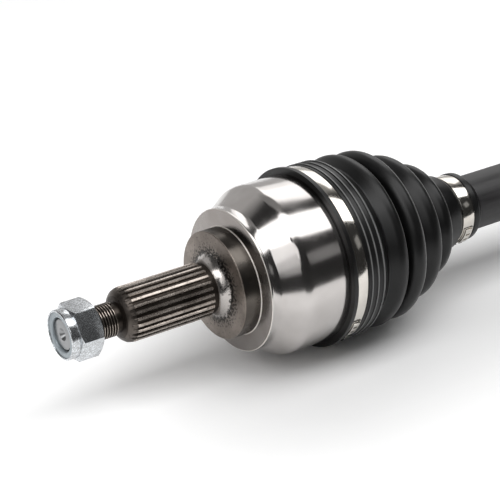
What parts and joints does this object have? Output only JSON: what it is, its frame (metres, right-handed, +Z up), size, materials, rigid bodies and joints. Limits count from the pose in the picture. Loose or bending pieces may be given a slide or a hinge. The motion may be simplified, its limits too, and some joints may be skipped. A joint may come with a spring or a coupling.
{
  "type": "drive shaft",
  "caption": "Car drive shaft with a ball joint and splined hub stub at one end, a bar, rubber boots, and a plunging tripod joint at the other.",
  "frame": {"origin": "on the shaft's axis, in the shoulder face that seats against the wheel bearing", "axes": "+X along the shaft from the hub nut to the gearbox, +Z up"},
  "size_m": [0.6497, 0.1002, 0.1002],
  "materials": {
    "forged_steel": "ground bell, dark oiled stub",
    "zinc": "bright zinc plate",
    "insert": "dull grey-blue",
    "bearing_steel": "ground and oiled",
    "spring_steel": "black oiled",
    "boot_rubber": "satin black",
    "stainless_band": "bright rolled strip",
    "painted_bar": "satin black paint",
    "housing_steel": "satin black paint, ground seal land"
  },
  "bodies": {
    "shaft": {"shaft_bar": "painted_bar", "inner_race": "bearing_steel", "outboard_circlip": "spring_steel", "outboard_stop_ring": "spring_steel", "outboard_small_clamp": "stainless_band", "inboard_small_clamp": "stainless_band", "spider": "bearing_steel", "spider_circlip": "spring_steel", "spider_stop_ring": "spring_steel", "roller_washers": "spring_steel", "roller_snap_rings": "spring_steel"},
    "wheel_end": {"outer_race": "forged_steel", "hub_nut": "zinc", "hub_nut_insert": "insert", "outboard_boot": "boot_rubber", "outboard_large_clamp": "stainless_band"},
    "cage": {"ball_cage": "bearing_steel", "balls": "bearing_steel"},
    "inboard_boot": {"inboard_boot": "boot_rubber"},
    "gearbox_end": {"tulip_housing": "housing_steel", "boot_adaptor": "boot_rubber", "inboard_large_clamp": "stainless_band", "gearbox_circlip": "spring_steel"},
    "roller_1": {"roller_1": "bearing_steel"},
    "needles_1": {"needle_set_1": "bearing_steel"},
    "roller_2": {"roller_2": "bearing_steel"},
    "needles_2": {"needle_set_2": "bearing_steel"},
    "roller_3": {"roller_3": "bearing_steel"},
    "needles_3": {"needle_set_3": "bearing_steel"}
  },
  "joints": [
    {"name": "outboard_bend", "type": "hinge", "parent": "shaft", "child": "wheel_end", "pos_m": [0.046, 0, 0], "axis": [0, 0, 1], "range_deg": [-45, 45], "deforming": ["outboard_boot"]},
    {"name": "cage_follow", "type": "hinge", "parent": "shaft", "child": "cage", "pos_m": [0.046, 0, 0], "axis": [0, 0, 1], "range_deg": [-23, 23]},
    {"name": "inboard_bend", "type": "hinge", "parent": "shaft", "child": "inboard_boot", "pos_m": [0.43, -0.0125, 0], "axis": [0, 0, 1], "range_deg": [-20, 20], "deforming": ["inboard_boot"]},
    {"name": "plunge", "type": "slide", "parent": "inboard_boot", "child": "gearbox_end", "axis": [1, 0, 0], "range_m": [-0.01, 0.01]},
    {"name": "roller_1_roll", "type": "hinge", "parent": "shaft", "child": "roller_1", "pos_m": [0.43, 0.025, 0], "axis": [0, 1, 0], "range_deg": [-32, 32]},
    {"name": "needles_1_roll", "type": "hinge", "parent": "shaft", "child": "needles_1", "pos_m": [0.43, 0.025, 0], "axis": [0, 1, 0], "range_deg": [-18, 18]},
    {"name": "roller_2_roll", "type": "hinge", "parent": "shaft", "child": "roller_2", "pos_m": [0.43, -0.0125, 0.02165], "axis": [0, -0.5, 0.866], "range_deg": [-32, 32]},
    {"name": "needles_2_roll", "type": "hinge", "parent": "shaft", "child": "needles_2", "pos_m": [0.43, -0.0125, 0.02165], "axis": [0, -0.5, 0.866], "range_deg": [-18, 18]},
    {"name": "roller_3_roll", "type": "hinge", "parent": "shaft", "child": "roller_3", "pos_m": [0.43, -0.0125, -0.02165], "axis": [0, -0.5, -0.866], "range_deg": [-32, 32]},
    {"name": "needles_3_roll", "type": "hinge", "parent": "shaft", "child": "needles_3", "pos_m": [0.43, -0.0125, -0.02165], "axis": [0, -0.5, -0.866], "range_deg": [-18, 18]}
  ],
  "couplings": [
    {"joint": "cage_follow", "follows": "outboard_bend", "ratio": 0.5},
    {"joint": "roller_1_roll", "follows": "plunge", "rad_per_m": 55.556},
    {"joint": "needles_1_roll", "follows": "plunge", "rad_per_m": 30.838},
    {"joint": "roller_2_roll", "follows": "plunge", "rad_per_m": 55.556},
    {"joint": "needles_2_roll", "follows": "plunge", "rad_per_m": 30.838},
    {"joint": "roller_3_roll", "follows": "plunge", "rad_per_m": 55.556},
    {"joint": "needles_3_roll", "follows": "plunge", "rad_per_m": 30.838}
  ]
}
